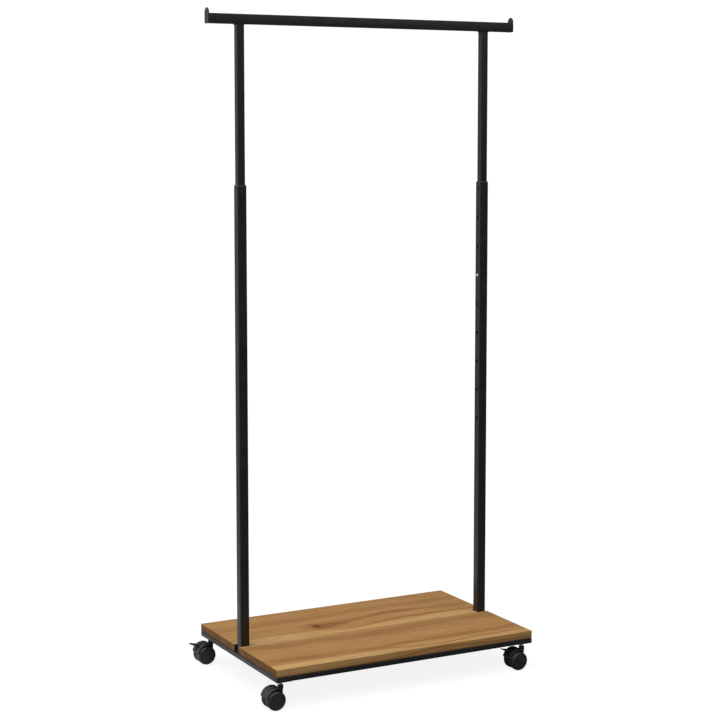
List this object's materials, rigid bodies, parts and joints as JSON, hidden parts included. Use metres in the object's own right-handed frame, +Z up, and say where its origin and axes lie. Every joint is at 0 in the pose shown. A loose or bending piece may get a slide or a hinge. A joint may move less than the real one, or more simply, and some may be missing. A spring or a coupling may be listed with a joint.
{
  "type": "garment rail",
  "caption": "Rolling garment rail: a square hanging rail on two telescopic posts with snap-button height adjustment, on a low wooden platform base with swivel casters.",
  "frame": {"origin": "on the floor, under the middle of the base", "axes": "X along the hanging rail, Y from the front to the back, Z up"},
  "size_m": [0.9, 0.486, 1.745],
  "materials": {
    "powder_coat": "satin black powder coat, fine orange peel",
    "wood": "oiled butcher-block boards, long grain, satin",
    "caster_plastic": "moulded black nylon, semi matte",
    "bush_plastic": "moulded dark grey nylon",
    "bright_steel": "bright zinc-plated steel",
    "spring_steel": "tempered strip, dull"
  },
  "bodies": {
    "base": {"left_frame_rail": "powder_coat", "right_frame_rail": "powder_coat", "front_frame_rail": "powder_coat", "centre_frame_rail": "powder_coat", "rear_frame_rail": "powder_coat", "front_left_frame_cap": "caster_plastic", "front_right_frame_cap": "caster_plastic", "rear_left_frame_cap": "caster_plastic", "rear_right_frame_cap": "caster_plastic", "front_board": "wood", "rear_board": "wood", "front_board_screw_1": "bright_steel", "front_board_screw_2": "bright_steel", "front_board_screw_3": "bright_steel", "front_board_screw_4": "bright_steel", "rear_board_screw_1": "bright_steel", "rear_board_screw_2": "bright_steel", "rear_board_screw_3": "bright_steel", "rear_board_screw_4": "bright_steel", "left_outer_post": "powder_coat", "left_post_spigot": "powder_coat", "left_post_screw": "bright_steel", "left_guide_bush": "bush_plastic", "right_outer_post": "powder_coat", "right_post_spigot": "powder_coat", "right_post_screw": "bright_steel", "right_guide_bush": "bush_plastic", "front_left_caster_stem": "bright_steel", "front_right_caster_stem": "bright_steel", "rear_left_caster_stem": "bright_steel", "rear_right_caster_stem": "bright_steel"},
    "upper_frame": {"left_inner_tube": "powder_coat", "left_snap_spring": "spring_steel", "right_inner_tube": "powder_coat", "right_snap_spring": "spring_steel", "hanging_rail": "powder_coat", "left_end_stop": "powder_coat", "right_end_stop": "powder_coat"},
    "left_button": {"left_snap_button": "bright_steel"},
    "right_button": {"right_snap_button": "bright_steel"},
    "front_left_caster": {"front_left_caster_hood": "caster_plastic", "front_left_caster_axle": "bright_steel"},
    "front_left_front_wheel": {"front_left_caster_front_wheel": "caster_plastic"},
    "front_left_rear_wheel": {"front_left_caster_rear_wheel": "caster_plastic"},
    "front_right_caster": {"front_right_caster_hood": "caster_plastic", "front_right_caster_axle": "bright_steel", "front_right_brake_pin": "bright_steel"},
    "front_right_front_wheel": {"front_right_caster_front_wheel": "caster_plastic"},
    "front_right_rear_wheel": {"front_right_caster_rear_wheel": "caster_plastic"},
    "front_right_lever": {"front_right_brake_lever": "caster_plastic"},
    "rear_left_caster": {"rear_left_caster_hood": "caster_plastic", "rear_left_caster_axle": "bright_steel", "rear_left_brake_pin": "bright_steel"},
    "rear_left_front_wheel": {"rear_left_caster_front_wheel": "caster_plastic"},
    "rear_left_rear_wheel": {"rear_left_caster_rear_wheel": "caster_plastic"},
    "rear_left_lever": {"rear_left_brake_lever": "caster_plastic"},
    "rear_right_caster": {"rear_right_caster_hood": "caster_plastic", "rear_right_caster_axle": "bright_steel"},
    "rear_right_front_wheel": {"rear_right_caster_front_wheel": "caster_plastic"},
    "rear_right_rear_wheel": {"rear_right_caster_rear_wheel": "caster_plastic"}
  },
  "joints": [
    {"name": "height_slide", "type": "slide", "parent": "base", "child": "upper_frame", "axis": [0, 0, 1], "range_m": [-0.395, 0.237], "deforming": ["left_snap_button", "right_snap_button"]},
    {"name": "left_button_press", "type": "slide", "parent": "upper_frame", "child": "left_button", "axis": [-1, 0, 0], "range_m": [0, 0.0045], "stiffness_N_per_m": 1500, "springref_m": -0.003, "deforming": ["left_snap_spring"]},
    {"name": "right_button_press", "type": "slide", "parent": "upper_frame", "child": "right_button", "axis": [1, 0, 0], "range_m": [0, 0.0045], "stiffness_N_per_m": 1500, "springref_m": -0.003, "deforming": ["right_snap_spring"]},
    {"name": "front_left_swivel", "type": "hinge", "parent": "base", "child": "front_left_caster", "pos_m": [-0.359, -0.22, 0.06], "axis": [0, 0, 1], "continuous": true},
    {"name": "front_left_front_wheel_spin", "type": "hinge", "parent": "front_left_caster", "child": "front_left_front_wheel", "pos_m": [-0.378, -0.22, 0.025], "axis": [0, 1, 0], "continuous": true},
    {"name": "front_left_rear_wheel_spin", "type": "hinge", "parent": "front_left_caster", "child": "front_left_rear_wheel", "pos_m": [-0.378, -0.22, 0.025], "axis": [0, 1, 0], "continuous": true},
    {"name": "front_right_swivel", "type": "hinge", "parent": "base", "child": "front_right_caster", "pos_m": [0.359, -0.22, 0.06], "axis": [0, 0, 1], "continuous": true},
    {"name": "front_right_front_wheel_spin", "type": "hinge", "parent": "front_right_caster", "child": "front_right_front_wheel", "pos_m": [0.34, -0.22, 0.025], "axis": [0, 1, 0], "continuous": true},
    {"name": "front_right_rear_wheel_spin", "type": "hinge", "parent": "front_right_caster", "child": "front_right_rear_wheel", "pos_m": [0.34, -0.22, 0.025], "axis": [0, 1, 0], "continuous": true},
    {"name": "front_right_brake", "type": "hinge", "parent": "front_right_caster", "child": "front_right_lever", "pos_m": [0.32444, -0.22, 0.04056], "axis": [0, -1, 0], "range_deg": [0, 18]},
    {"name": "rear_left_swivel", "type": "hinge", "parent": "base", "child": "rear_left_caster", "pos_m": [-0.359, 0.22, 0.06], "axis": [0, 0, 1], "continuous": true},
    {"name": "rear_left_front_wheel_spin", "type": "hinge", "parent": "rear_left_caster", "child": "rear_left_front_wheel", "pos_m": [-0.378, 0.22, 0.025], "axis": [0, 1, 0], "continuous": true},
    {"name": "rear_left_rear_wheel_spin", "type": "hinge", "parent": "rear_left_caster", "child": "rear_left_rear_wheel", "pos_m": [-0.378, 0.22, 0.025], "axis": [0, 1, 0], "continuous": true},
    {"name": "rear_left_brake", "type": "hinge", "parent": "rear_left_caster", "child": "rear_left_lever", "pos_m": [-0.39356, 0.22, 0.04056], "axis": [0, -1, 0], "range_deg": [0, 18]},
    {"name": "rear_right_swivel", "type": "hinge", "parent": "base", "child": "rear_right_caster", "pos_m": [0.359, 0.22, 0.06], "axis": [0, 0, 1], "continuous": true},
    {"name": "rear_right_front_wheel_spin", "type": "hinge", "parent": "rear_right_caster", "child": "rear_right_front_wheel", "pos_m": [0.34, 0.22, 0.025], "axis": [0, 1, 0], "continuous": true},
    {"name": "rear_right_rear_wheel_spin", "type": "hinge", "parent": "rear_right_caster", "child": "rear_right_rear_wheel", "pos_m": [0.34, 0.22, 0.025], "axis": [0, 1, 0], "continuous": true}
  ]
}
